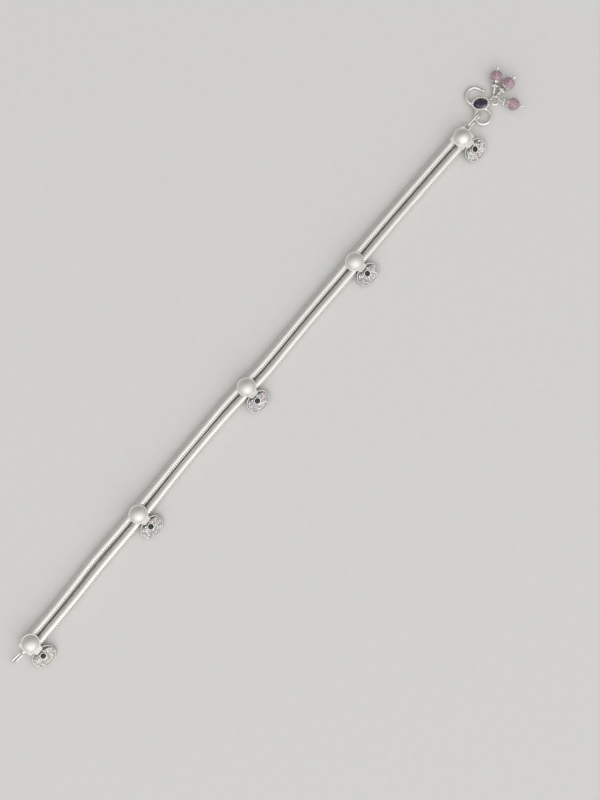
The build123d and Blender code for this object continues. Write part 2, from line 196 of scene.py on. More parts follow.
def chain_route(side):
    """The points that a chain's axis is drawn through, in millimetres."""
    points = []
    for index, dome in enumerate(DOMES):
        base = dome_place(dome)
        first = ENTRY if index > 0 else CHAIN_END
        last = ENTRY if index < len(DOMES) - 1 else CHAIN_END
        for along in (-first, last):
            points.append(base @ (Vector((along, side * CHAIN_SPACING / 2, CHAIN_HEIGHT)) * MM) / MM)
        if index < len(SPANS):
            span = SPANS[index]
            near_y = span.near_y + side * (CHAIN_RADIUS + span.near_gap / 2)
            far_y = span.far_y + side * (CHAIN_RADIUS + span.far_gap / 2)
            points.append(Vector((dome.x + NEAR_POINT, near_y, CHAIN_RADIUS)))
            points.append(Vector((dome.x + FAR_POINT, far_y, CHAIN_RADIUS)))
    return points


# ------------------------------------------------------------------------------------------------
# Settings


class PayalChainSettings(bpy.types.PropertyGroup):
    ribs: IntProperty(name="Ribs", description="Plates along each chain", default=275, min=50, max=400)
    groove: FloatProperty(
        name="Groove", description="Depth between two plates", default=0.038 * MM, unit="LENGTH"
    )
    seam: FloatProperty(
        name="Seam", description="Extra depth where the plates fold", default=0.20 * MM, unit="LENGTH"
    )
    wave: FloatProperty(
        name="Wave", description="How far a plate leans along the chain", default=0.42 * MM, unit="LENGTH"
    )


class PayalCharmSettings(bpy.types.PropertyGroup):
    bead: FloatProperty(
        name="Border bead", description="Radius of a border bead", default=0.25 * MM, unit="LENGTH"
    )
    stone: FloatProperty(
        name="Stone", description="Radius of a small stone", default=0.355 * MM, unit="LENGTH"
    )
    pitch: FloatProperty(
        name="Pitch", description="Distance between stones", default=0.80 * MM, unit="LENGTH"
    )
    grain: FloatProperty(
        name="Grain", description="Radius of a holding grain", default=0.13 * MM, unit="LENGTH"
    )


class PayalFinishSettings(bpy.types.PropertyGroup):
    silver: FloatVectorProperty(
        name="Silver",
        description="Clean sterling silver",
        default=linear("EFEDE8"),
        subtype="COLOR",
        min=0,
        max=1,
    )
    tarnish: FloatVectorProperty(
        name="Tarnish",
        description="Oxide in the recesses",
        default=linear("2C2B29"),
        subtype="COLOR",
        min=0,
        max=1,
    )
    violet: FloatVectorProperty(
        name="Violet stone",
        description="The hook's stone",
        default=linear("0E0A26"),
        subtype="COLOR",
        min=0,
        max=1,
    )
    mauve: FloatVectorProperty(
        name="Mauve glass",
        description="The drops' beads",
        default=linear("F2D6E2"),
        subtype="COLOR",
        min=0,
        max=1,
    )


class PayalStageSettings(bpy.types.PropertyGroup):
    floor: FloatVectorProperty(
        name="Floor",
        description="Colour of the floor",
        default=linear("D8D7D4"),
        subtype="COLOR",
        min=0,
        max=1,
    )
    key: FloatProperty(name="Key light", description="Watts of the soft key light", default=22, min=0)
    distance: FloatProperty(
        name="Camera distance", description="From the camera to the anklet", default=0.53, unit="LENGTH"
    )


# ------------------------------------------------------------------------------------------------
# Modelling by hand


def deselect():
    """Object mode with nothing selected, ready for a new primitive."""
    if bpy.context.object and bpy.context.object.mode != "OBJECT":
        bpy.ops.object.mode_set(mode="OBJECT")
    bpy.ops.object.select_all(action="DESELECT")


def select_only(piece):
    deselect()
    piece.select_set(True)
    bpy.context.view_layer.objects.active = piece


def smooth(piece):
    select_only(piece)
    bpy.ops.object.shade_smooth()


def face_outwards():
    """Turns all faces of the active piece outwards, and leaves edit mode."""
    bpy.ops.object.mode_set(mode="EDIT")
    bpy.ops.mesh.select_all(action="SELECT")
    bpy.ops.mesh.normals_make_consistent(inside=False)
    bpy.ops.object.mode_set(mode="OBJECT")


def lathe(name, profile, corners, caps=True):
    """A turned shape from (radius x, radius y, height) rings in millimetres, bottom first, modelled by
    extruding one ring upwards."""
    deselect()
    bpy.ops.mesh.primitive_circle_add(vertices=corners, radius=1, fill_type="NGON" if caps else "NOTHING")
    piece = bpy.context.object
    piece.name = name
    bpy.ops.object.mode_set(mode="EDIT")
    bpy.ops.mesh.select_all(action="SELECT")
    first = profile[0]
    bpy.ops.transform.resize(value=(first[0] * MM, first[1] * MM, 1), center_override=(0, 0, 0))
    bpy.ops.transform.translate(value=(0, 0, first[2] * MM))
    for below, ring in zip(profile, profile[1:]):
        rise = (ring[2] - below[2]) * MM
        bpy.ops.mesh.extrude_region_move(TRANSFORM_OT_translate={"value": (0, 0, rise)})
        bpy.ops.transform.resize(value=(ring[0] / below[0], ring[1] / below[1], 1), center_override=(0, 0, 0))
    face_outwards()
    return piece


def turn_rings(piece, corners, rings, half_size=(1, 1)):
    """Turns the numbered rings of a lathed piece by half a side, so that its facets are staggered. An oval
    piece keeps its outline where half_size is its half length and half width in millimetres."""
    turn = Matrix.Rotation(pi / corners, 3, "Z")
    for vertex in piece.data.vertices:
        if vertex.index // corners in rings:
            turned = turn @ Vector((vertex.co.x / half_size[0], vertex.co.y / half_size[1], vertex.co.z))
            vertex.co = Vector((turned.x * half_size[0], turned.y * half_size[1], turned.z))


def repeat(seed, name, places):
    """One mesh that holds a copy of the seed at each place. The seed is used up."""
    points = [vertex.co.copy() for vertex in seed.data.vertices]
    polygons = [tuple(face.vertices) for face in seed.data.polygons]
    all_points, all_polygons = [], []
    for matrix in places:
        start = len(all_points)
        all_points.extend(matrix @ point for point in points)
        all_polygons.extend(tuple(start + i for i in polygon) for polygon in polygons)
    mesh = bpy.data.meshes.new(name)
    mesh.from_pydata(all_points, [], all_polygons)
    mesh.update()
    piece = bpy.data.objects.new(name, mesh)
    bpy.context.scene.collection.objects.link(piece)
    old = seed.data
    bpy.data.objects.remove(seed)
    bpy.data.meshes.remove(old)
    return piece


def settle(piece, name, matrix=None):
    """Puts a piece at its place, with the place in its mesh, and lets it ride on the anklet."""
    select_only(piece)
    if matrix is not None:
        piece.matrix_world = matrix
        bpy.ops.object.transform_apply(location=True, rotation=True, scale=True)
    piece.name = piece.data.name = name
    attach(piece, "root")
    return piece


def dress(piece, *materials):
    """Gives a piece its materials, in the order of its slots."""
    piece.data.materials.clear()
    for material in materials:
        piece.data.materials.append(material)


def dress_node(node, material):
    """Gives a carried-over solid its finish without touching its mesh."""
    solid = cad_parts[node]
    if not solid.material_slots:
        solid.data.materials.append(material)
    for slot in solid.material_slots:
        slot.material = material


# ------------------------------------------------------------------------------------------------
# Materials


def add_node(tree, kind, inputs=None, **settings):
    """Adds one node with its settings. inputs maps a socket to a value, or to the output that feeds it."""
    node = tree.nodes.new(kind)
    for name, value in settings.items():
        setattr(node, name, value)
    for name, value in (inputs or {}).items():
        if isinstance(value, bpy.types.NodeSocket):
            tree.links.new(value, node.inputs[name])
        else:
            node.inputs[name].default_value = value
    return node


def new_material(name):
    """An empty material with its output, and the Principled shader that feeds it."""
    material = bpy.data.materials.new(name)
    material.use_nodes = True
    tree = material.node_tree
    tree.nodes.clear()
    shader = add_node(tree, "ShaderNodeBsdfPrincipled")
    add_node(tree, "ShaderNodeOutputMaterial", {"Surface": shader.outputs["BSDF"]})
    return material, tree, shader


def mix_colour(tree, factor, first, second):
    """The output of a mix of two colours, each a tuple or the output that feeds it."""
    mix = add_node(tree, "ShaderNodeMix", {"Factor": factor}, data_type="RGBA")
    # Mix keeps one set of sockets for each kind of data, so the colour ones are set by place.
    for socket, value in ((mix.inputs[6], first), (mix.inputs[7], second)):
        if isinstance(value, bpy.types.NodeSocket):
            tree.links.new(value, socket)
        else:
            socket.default_value = tuple(value) + (1,)
    return mix.outputs[2]


def map_range(tree, value, source, target):
    """The output of a value mapped from one (low, high) range to another."""
    limits = {"From Min": source[0], "From Max": source[1], "To Min": target[0], "To Max": target[1]}
    return add_node(tree, "ShaderNodeMapRange", {"Value": value, **limits}).outputs["Result"]


def finish_settings():
    return bpy.context.scene.payal_finish


def silver(name, roughness, spread, grain, bump, recess=False, colour=None, bright_below=None):
    """Sterling silver. grain is the size in millimetres of the fine surface marks, and bump their depth. With
    recess the piece's own attribute darkens its recesses with oxide. A piece with bright_below is buffed up
    to that height in millimetres, and has the stated roughness above it."""
    if name in bpy.data.materials:
        return bpy.data.materials[name]
    colours = finish_settings()
    material, tree, shader = new_material(name)
    shader.inputs["Metallic"].default_value = 1.0
    place_on = add_node(tree, "ShaderNodeTexCoord")
    clouds = add_node(
        tree,
        "ShaderNodeTexNoise",
        {"Vector": place_on.outputs["Object"], "Scale": 1 / (6 * MM), "Detail": 3.0, "Roughness": 0.55},
    )
    marks = add_node(
        tree,
        "ShaderNodeTexNoise",
        {"Vector": place_on.outputs["Object"], "Scale": 1 / (grain * MM), "Detail": 2.0, "Roughness": 0.6},
    )
    bright = tuple(colour or colours.silver)
    dull = tuple(c * 0.86 for c in bright)
    tone = mix_colour(tree, clouds.outputs["Fac"], dull, bright)
    if recess:
        depth = add_node(tree, "ShaderNodeAttribute", attribute_name="recess")
        tone = mix_colour(tree, depth.outputs["Fac"], tone, colours.tarnish)
    tree.links.new(tone, shader.inputs["Base Color"])
    rough = map_range(tree, marks.outputs["Fac"], (0.3, 0.7), (roughness - spread, roughness + spread))
    if bright_below is not None:
        split = add_node(tree, "ShaderNodeSeparateXYZ", {"Vector": place_on.outputs["Object"]})
        edge = ((bright_below - 0.02) * MM, bright_below * MM)
        above = map_range(tree, split.outputs["Z"], edge, (0, 1))
        inputs = {"Factor": above, "A": BUFFED_ROUGHNESS, "B": rough}
        rough = add_node(tree, "ShaderNodeMix", inputs, data_type="FLOAT").outputs["Result"]
    tree.links.new(rough, shader.inputs["Roughness"])
    relief = add_node(
        tree,
        "ShaderNodeBump",
        {"Height": marks.outputs["Fac"], "Distance": bump * MM, "Strength": 1.0},
    )
    tree.links.new(relief.outputs["Normal"], shader.inputs["Normal"])
    return material


def woven_silver():
    # Drawn silver wire knitted into a snake chain, then tumbled: soft shine on the crowns, dark seams.
    return silver("silver_knitted_tumbled", roughness=0.47, spread=0.05, grain=0.35, bump=0.006, recess=True)


def satin_silver():
    # Pressed silver, its dome sandblasted to an even silky sheen and its collar and strap left buffed.
    name = "silver_pressed_satin"
    return silver(name, roughness=0.60, spread=0.05, grain=0.10, bump=0.008, bright_below=DOME_FOOT)


def half_buffed_silver():
    # The hook end's cap, whose dome is half buffed: a broad soft shine with a darker crown.
    return silver("silver_pressed_buffed", roughness=0.50, spread=0.05, grain=0.25, bump=0.004)


def polished_silver():
    # Cast silver, buffed: nearly a mirror, with hairline wear.
    return silver("silver_cast_buffed", roughness=0.15, spread=0.04, grain=0.40, bump=0.003)


def cut_silver():
    # Silver grains raised and bright cut around small stones.
    return silver("silver_bright_cut", roughness=0.36, spread=0.05, grain=0.30, bump=0.006)


def pierced_silver_painted_shade():
    # The plate under the small stones, pierced, its silver painted grey as the shade between them.
    grey = linear("9A9793")
    name = "silver_pierced_oxidised"
    return silver(name, roughness=0.40, spread=0.06, grain=0.25, bump=0.010, colour=grey)


def crystal(kind):
    # Cubic zirconia, brilliant cut and set close: pale, with painted sparkle that darkens a stone here and
    # there.
    name = f"zirconia_{kind}_brilliant_cut"
    if name in bpy.data.materials:
        return bpy.data.materials[name]
    material, tree, shader = new_material(name)
    place_on = add_node(tree, "ShaderNodeTexCoord")
    painted_sparkle_noise = add_node(
        tree,
        "ShaderNodeTexNoise",
        {"Vector": place_on.outputs["Object"], "Scale": 1 / (0.7 * MM), "Detail": 1.0},
    )
    pale = linear(TINT_CODES[kind])
    # Painted sparkle: the noise darkens some stones to about a third of their tint.
    share = map_range(tree, painted_sparkle_noise.outputs["Fac"], (0.40, 0.56), (0, 1))
    tree.links.new(mix_colour(tree, share, tuple(c * 0.36 for c in pale), pale), shader.inputs["Base Color"])
    rough = map_range(tree, painted_sparkle_noise.outputs["Fac"], (0, 1), (0.06, 0.16))
    tree.links.new(rough, shader.inputs["Roughness"])
    shader.inputs["IOR"].default_value = 2.15
    return material


def stone_material(name, cloud, tones, rough, ior, transmission=0.0):
    """A polished stone or glass whose tone drifts between two colours over cloud millimetres."""
    if name in bpy.data.materials:
        return bpy.data.materials[name]
    material, tree, shader = new_material(name)
    place_on = add_node(tree, "ShaderNodeTexCoord")
    drift = add_node(
        tree,
        "ShaderNodeTexNoise",
        {"Vector": place_on.outputs["Object"], "Scale": 1 / (cloud * MM), "Detail": 2.0},
    )
    share = map_range(tree, drift.outputs["Fac"], (0.35, 0.65), (0, 1))
    tree.links.new(mix_colour(tree, share, *tones), shader.inputs["Base Color"])
    tree.links.new(map_range(tree, drift.outputs["Fac"], (0, 1), rough), shader.inputs["Roughness"])
    shader.inputs["IOR"].default_value = ior
    shader.inputs["Transmission Weight"].default_value = transmission
    return material


def onyx():
    # Black onyx, cut as a low dome and polished: black, with one small soft reflection.
    tones = (linear("040405"), linear("0C0B0E"))
    return stone_material("onyx_cabochon_polished", cloud=0.9, tones=tones, rough=(0.10, 0.16), ior=1.50)


def mauve_glass():
    # Pressed glass, fire polished: see-through mauve with soft facets.
    mauve = tuple(finish_settings().mauve)
    tones = (tuple(c * 0.75 for c in mauve), mauve)
    name = "glass_mauve_pressed"
    return stone_material(name, cloud=1.6, tones=tones, rough=(0.05, 0.12), ior=1.52, transmission=0.75)


def violet_stone():
    # Indigo glass, faceted: nearly black, with paler patches painted on as the highlights of a few facets.
    name = "glass_indigo_faceted"
    if name in bpy.data.materials:
        return bpy.data.materials[name]
    material, tree, shader = new_material(name)
    place_on = add_node(tree, "ShaderNodeTexCoord")
    glint_cells = add_node(
        tree,
        "ShaderNodeTexVoronoi",
        {"Vector": place_on.outputs["Object"], "Scale": 1 / (0.85 * MM), "Randomness": 0.9},
    )
    share = add_node(tree, "ShaderNodeSeparateColor", {"Color": glint_cells.outputs["Color"]})
    # Painted highlights: some random cells turn a paler indigo, and fewer still a pale lilac, where facets
    # would catch the light.
    painted_dim_glints = map_range(tree, share.outputs["Red"], (0.62, 0.80), (0, 1))
    painted_bright_glints = map_range(tree, share.outputs["Red"], (0.84, 0.97), (0, 0.6))
    tone = mix_colour(tree, painted_dim_glints, tuple(finish_settings().violet), linear("1C183A"))
    tone = mix_colour(tree, painted_bright_glints, tone, linear("9690AE"))
    tree.links.new(tone, shader.inputs["Base Color"])
    marks = {"Vector": place_on.outputs["Object"], "Scale": 1 / (0.5 * MM)}
    wear = add_node(tree, "ShaderNodeTexNoise", marks)
    tree.links.new(map_range(tree, wear.outputs["Fac"], (0, 1), (0.03, 0.08)), shader.inputs["Roughness"])
    shader.inputs["IOR"].default_value = 1.60
    return material


# ------------------------------------------------------------------------------------------------
# Operators


class PAYAL_OT_weave_chains(bpy.types.Operator):
    """Knit the two snake chains: one plate, repeated along the chain and bent to its route"""

    bl_idname = "payal.weave_chains"
    bl_label = "Weave Chains"
    bl_options = {"REGISTER", "UNDO"}

    corners = 32
    # Each ring of a plate: its place along the plate's width, from one groove to the next.
    rings = (0.0, 0.05, 0.13, 0.26, 0.42, 0.58, 0.74, 0.87, 0.95, 1.0)
    # A corner's angle from its seam is multiplied by the first share at the seam, and by both together at the
    # middle between two seams, so that the corners gather where the fold needs them.
    gathering = (0.45, 0.55)
    fold_width = 0.19  # in radians, to each side of a seam
    # How suddenly a plate drops into its groove: on its crown, and how much softer in its fold.
    sharpness = (5.0, 2.6)
    # The oxide in a groove on the crown, and how much more there is in a fold.
    oxide = (0.12, 0.80)

    def plate(self, pitch, roll):
        """One plate of the weave, a low rounded band that folds back on itself along two seams."""
        settings = bpy.context.scene.payal_chain
        radius = CHAIN_RADIUS * MM
        deselect()
        bpy.ops.mesh.primitive_circle_add(vertices=self.corners, radius=radius, fill_type="NOTHING")
        piece = bpy.context.object
        bpy.ops.object.mode_set(mode="EDIT")
        bpy.ops.mesh.select_all(action="SELECT")
        for below, ring in zip(self.rings, self.rings[1:]):
            width = (ring - below) * pitch
            bpy.ops.mesh.extrude_region_move(TRANSFORM_OT_translate={"value": (0, 0, width)})
        bpy.ops.mesh.select_all(action="SELECT")
        # Z of the band becomes X along the chain.
        bpy.ops.transform.rotate(value=radians(-90), orient_axis="Y", center_override=(0, 0, 0))
        bpy.ops.object.mode_set(mode="OBJECT")
        recess = piece.data.attributes.new("recess", "FLOAT", "POINT")
        turned = radians(roll)
        for vertex in piece.data.vertices:
            share = vertex.co.x / pitch
            # The angle from the nearer seam, drawn in towards it so that the fold is finely cut.
            angle = atan2(-vertex.co.y, vertex.co.z) - turned
            from_seam = (angle + pi / 2) % pi - pi / 2
            pulled = from_seam * (self.gathering[0] + self.gathering[1] * abs(from_seam) / (pi / 2))
            angle += pulled - from_seam
            near = exp(-((pulled / self.fold_width) ** 2))
            edge = abs(2 * share - 1) ** (self.sharpness[0] - self.sharpness[1] * near)
            depth = (settings.groove + settings.seam * near) * edge
            reach = radius - depth
            angle += turned
            vertex.co.y = -sin(angle) * reach
            vertex.co.z = cos(angle) * reach
            vertex.co.x += settings.wave * (0.5 - abs(sin(pulled)))
            recess.data[vertex.index].value = min(1.0, edge * (self.oxide[0] + self.oxide[1] * near))
        return piece

    def route(self, side):
        """The chain's axis as one smooth spline."""
        points = chain_route(side)
        curve = bpy.data.curves.new("chain_axis", "CURVE")
        curve.dimensions = "3D"
        curve.twist_mode = "Z_UP"
        curve.resolution_u = 32
        spline = curve.splines.new("NURBS")
        spline.points.add(len(points) - 1)
        for point, control in zip(points, spline.points):
            control.co = (*(point * MM), 1)
        spline.order_u = 3
        spline.use_endpoint_u = True
        axis = bpy.data.objects.new("chain_axis", curve)
        bpy.context.scene.collection.objects.link(axis)
        return axis, spline.calc_length()

    def execute(self, context):
        settings = context.scene.payal_chain
        for chain in CHAINS:
            axis, length = self.route(chain.side)
            pitch = length / settings.ribs
            piece = self.plate(pitch, chain.roll)
            select_only(piece)
            row = piece.modifiers.new("row", "ARRAY")
            row.count = settings.ribs
            row.use_relative_offset = False
            row.use_constant_offset = True
            row.constant_offset_displace = (pitch, 0, 0)
            row.use_merge_vertices = True
            row.merge_threshold = 0.002 * MM
            bend = piece.modifiers.new("bend", "CURVE")
            bend.object = axis
            bend.deform_axis = "POS_X"
            bpy.ops.object.modifier_apply(modifier="row")
            bpy.ops.object.modifier_apply(modifier="bend")
            face_outwards()
            bpy.ops.object.shade_smooth()
            bpy.data.objects.remove(axis)
            settle(piece, chain.name)
            dress(piece, woven_silver())
            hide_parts(chain.node)
        return {"FINISHED"}


class PAYAL_OT_finish_sliders(bpy.types.Operator):
    """Finish the sliders and end caps with their satin domes"""

    bl_idname = "payal.finish_sliders"
    bl_label = "Finish Sliders"
    bl_options = {"REGISTER", "UNDO"}

    def execute(self, context):
        for node in ("slider_dome_1", "slider_dome_2", "slider_dome_3", "end_cap_loop"):
            dress_node(node, satin_silver())
        dress_node("end_cap_bail", half_buffed_silver())
        return {"FINISHED"}


class PAYAL_OT_pave_charms(bpy.types.Operator):
    """Pave the charms: beaded border, small stones held by grains, and the rolled edge of the tube setting"""

    bl_idname = "payal.pave_charms"
    bl_label = "Pave Charms"
    bl_options = {"REGISTER", "UNDO"}

    border_inset = 0.26  # of the border beads from the charm's edge
    border_count = 58
    rows = range(-5, 6)
    columns = range(-6, 7)
    row_shift = 0.2  # of the rows of stones, away from the slot
    stone_margin = 0.55  # of a stone's radius, which has to lie on the field
    grain_margin = 0.06
    sink = 0.02  # how deep stones, grains and beads are set in
    lip_press = 0.7  # the share of its height that the lip keeps on its inner side
    # A stone's crown, as the share of its radius and the height of each ring.
    crown = ((1, 0.0), (1, 0.06), (0.76, 0.16), (0.5, 0.21))
    # The black cabochon, as the radius and height of each ring.
    cabochon_rings = (
        (0.95, 0.28), (0.95, 0.76), (0.9, 0.88), (0.78, 0.98), (0.58, 1.05), (0.32, 1.09), (0.1, 1.10)
    )

    def border_places(self, inset, count):
        """Places spaced evenly along the charm's outline, its two ends cut flat, in the charm's own plane."""
        a, b, flat = CHARM_LENGTH / 2 - inset, CHARM_WIDTH / 2 - inset, CHARM_FLATS / 2 - inset
        steps = 1440
        outline = []
        for step in range(steps):
            angle = 2 * pi * step / steps
            outline.append(Vector((max(-flat, min(flat, a * cos(angle))), b * sin(angle), 0)))
        runs = [0.0]
        for before, after in zip(outline, outline[1:] + outline[:1]):
            runs.append(runs[-1] + (after - before).length)
        places = []
        step = 0
        for number in range(count):
            wanted = runs[-1] * number / count
            while runs[step + 1] < wanted:
                step += 1
            places.append(outline[step % steps])
        return places

    def in_field(self, x, y, margin):
        """Whether a stone fits on the paved field, clear of the slot and of the tube setting."""
        past_slot_edge = (x / SLOT_HALF[0]) ** 2 + (y / (SLOT_HALF[1] - margin)) ** 2 > 1
        if x > SLOT_START - margin and y > 0 and past_slot_edge:
            return False
        if hypot(x, y - TUBE_SHIFT) < TUBE_CLEAR + margin:
            return False
        return (x / (FIELD_HALF[0] - margin)) ** 2 + (y / (FIELD_HALF[1] - margin)) ** 2 < 1

    def stone(self, radius):
        """A round brilliant's crown: eight sides, turned half a side at its middle row."""
        width = radius / MM
        piece = lathe("stone", [(share * width, share * width, height) for share, height in self.crown], 8)
        turn_rings(piece, 8, (2,))
        return piece

    def grain(self, radius, squat, level):
        """One small silver grain, pressed squat by the setting tool."""
        deselect()
        bpy.ops.mesh.primitive_ico_sphere_add(subdivisions=level, radius=radius)
        bpy.ops.object.mode_set(mode="EDIT")
        bpy.ops.mesh.select_all(action="SELECT")
        bpy.ops.transform.resize(value=(1, 1, squat), center_override=(0, 0, 0))
        bpy.ops.object.mode_set(mode="OBJECT")
        return bpy.context.object

    def lip(self):
        """The rolled edge of the tube setting, burnished down towards the stone."""
        deselect()
        bpy.ops.mesh.primitive_torus_add(
            major_segments=40, minor_segments=10, major_radius=LIP_RADIUS * MM, minor_radius=LIP_WIRE * MM
        )
        piece = bpy.context.object
        for vertex in piece.data.vertices:
            if vertex.co.to_2d().length < LIP_RADIUS * MM and vertex.co.z > 0:
                vertex.co.z *= self.lip_press
        return piece

    def set_out(self, number, pitch, margin):
        """Where the stones and the grains between them go on one charm."""
        stones, grains = {}, []
        row_height = pitch * 3**0.5 / 2
        tints = [tint for tint in TINTS if tint.charm == number]
        for row in self.rows:
            for column in self.columns:
                x = (column + 0.5 * (row % 2)) * pitch
                y = row * row_height - self.row_shift
                if self.in_field(x, y, margin):
                    kinds = [tint.kind for tint in tints if hypot(x - tint.x, y - tint.y) < tint.reach]
                    stones.setdefault(kinds[0] if kinds else "clear", []).append((x, y))
                for gy in (y + pitch / 3**0.5, y - pitch / 3**0.5):
                    if self.in_field(x, gy, self.grain_margin):
                        grains.append((x, gy))
        return stones, grains

    def pave(self, seed, name, places, height, at, material, rounded=False):
        """Repeats a seed over a charm at (x, y) places, at one height."""
        matrices = [Matrix.Translation(Vector((x, y, height)) * MM) for x, y in places]
        piece = repeat(seed, name, matrices)
        if rounded:
            smooth(piece)
        settle(piece, name, at)
        dress(piece, material)

    def execute(self, context):
        settings = context.scene.payal_charm
        top = CHARM_THICKNESS / 2
        field_top = top + FIELD_RISE
        for number, dome in enumerate(DOMES, start=1):
            at = charm_place(dome)
            # The charm's body takes the plate silver that is painted grey as shade between its stones.
            dress_node(f"charm_{number}", pierced_silver_painted_shade())

            rim = [point.to_2d() for point in self.border_places(self.border_inset, self.border_count)]
            bead = self.grain(settings.bead, squat=0.62, level=2)
            self.pave(bead, f"charm_border_{number}", rim, top + self.sink, at, cut_silver(), rounded=True)

            margin = settings.stone / MM * self.stone_margin
            stones, grains = self.set_out(number, settings.pitch / MM, margin)
            for kind, places in stones.items():
                seed = self.stone(settings.stone)
                name = f"charm_stones_{kind}_{number}"
                self.pave(seed, name, places, field_top - self.sink, at, crystal(kind))
            grain = self.grain(settings.grain, squat=0.8, level=1)
            name = f"charm_grains_{number}"
            self.pave(grain, name, grains, field_top + self.sink, at, cut_silver(), rounded=True)

            setting = at @ Matrix.Translation(Vector((0, TUBE_SHIFT, 0)) * MM)
            lip = self.lip()
            smooth(lip)
            settle(lip, f"charm_bezel_{number}", setting @ Matrix.Translation((0, 0, (top + TUBE_RISE) * MM)))
            dress(lip, polished_silver())

            rings = [(width, width, height) for width, height in self.cabochon_rings]
            cabochon = lathe("cabochon", rings, 32)
            smooth(cabochon)
            settle(cabochon, f"charm_cabochon_{number}", setting)
            dress(cabochon, onyx())
            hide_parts(f"charm_stone_{number}")
        return {"FINISHED"}


class PAYAL_OT_finish_hook(bpy.types.Operator):
    """Finish the hook, its link and rings, and cut the violet stone"""

    bl_idname = "payal.finish_hook"
    bl_label = "Finish Hook"
    bl_options = {"REGISTER", "UNDO"}

    # The violet stone's rings: the height of each, and its share of the stone's width and length.
    cuts = ((0.96, 0.86), (1.30, 1.0), (1.45, 1.0), (1.85, 0.88), (2.15, 0.74), (2.35, 0.56))

    def execute(self, context):
        for node in ("s_hook", "oval_link", "split_ring"):
            dress_node(node, polished_silver())
        half_length, half_width = STONE_LENGTH / 2, STONE_WIDTH / 2
        rings = [(half_length * share, half_width * share, height) for height, share in self.cuts]
        gem = lathe("gem", rings, 16)
        turn_rings(gem, 16, (3, 5), (half_length, half_width))
        settle(gem, "hook_gem", setting_place())
        dress(gem, violet_stone())
        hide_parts("hook_stone")
        return {"FINISHED"}


class PAYAL_OT_string_drops(bpy.types.Operator):
    """Cut the three faceted beads and finish their pins, flowers and caps"""

    bl_idname = "payal.string_drops"
    bl_label = "String Drops"
    bl_options = {"REGISTER", "UNDO"}

    winding_reach = 0.5  # from a pin's axis to the middle of the wire wound round its neck
    # The wound wire's radius as a share of its pitch: over half, so that no light shows between the turns.
    winding_fill = 0.52
    # The rings of one bead from hole to hole, as the radius of each and its place along the pin.
    cuts = (
        (0.35, -2.0), (1.05, -2.0), (1.62, -1.62), (2.05, -1.0), (BEAD_RADIUS, -0.3),
        (BEAD_RADIUS, 0.3), (2.05, 1.0), (1.62, 1.62), (1.05, 2.0), (0.35, 2.0),
    )

    def coil(self, turns, pitch):
        """The end of a pin's wire, wound round its neck: a ring of wire swept up a screw."""
        deselect()
        start = (self.winding_reach * MM, 0, 0)
        radius = pitch * self.winding_fill
        bpy.ops.mesh.primitive_circle_add(vertices=8, radius=radius, location=start, rotation=(pi / 2, 0, 0))
        bpy.ops.object.transform_apply(location=True, rotation=True, scale=True)
        piece = bpy.context.object
        winding = piece.modifiers.new("winding", "SCREW")
        winding.axis = "Z"
        winding.angle = turns * 2 * pi
        winding.screw_offset = turns * pitch
        winding.steps = winding.render_steps = turns * 20
        winding.use_normal_calculate = True
        bpy.ops.object.modifier_apply(modifier="winding")
        bpy.ops.object.mode_set(mode="EDIT")
        bpy.ops.mesh.select_all(action="DESELECT")
        bpy.ops.mesh.select_non_manifold()
        bpy.ops.mesh.edge_face_add()
        face_outwards()
        bpy.ops.object.shade_smooth()
        return piece

    def execute(self, context):
        for drop in DROPS:
            for part in ("pin", "flower", "cap"):
                dress_node(f"drop_{part}_{drop.name}", polished_silver())
            wound = drop.flower_at - WINDING_FREE
            turns = round(wound / WINDING_WIRE)
            coil = self.coil(turns, wound / turns * MM)
            settle(coil, f"drop_coil_{drop.name}", drop_place(drop, WINDING_AT))
            dress(coil, polished_silver())

            bead = lathe("bead", [(radius, radius, along) for radius, along in self.cuts], 12, caps=False)
            turn_rings(bead, 12, range(1, len(self.cuts), 2))
            select_only(bead)
            bpy.ops.object.mode_set(mode="EDIT")
            bpy.ops.mesh.select_all(action="SELECT")
            bpy.ops.mesh.quads_convert_to_tris()
            bpy.ops.mesh.select_all(action="DESELECT")
            bpy.ops.mesh.select_non_manifold()
            bpy.ops.mesh.bridge_edge_loops()
            face_outwards()
            settle(bead, f"drop_glass_{drop.name}", drop_place(drop, drop.flower_at + BEAD_AT))
            dress(bead, mauve_glass())
            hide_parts(f"drop_bead_{drop.name}")
        return {"FINISHED"}


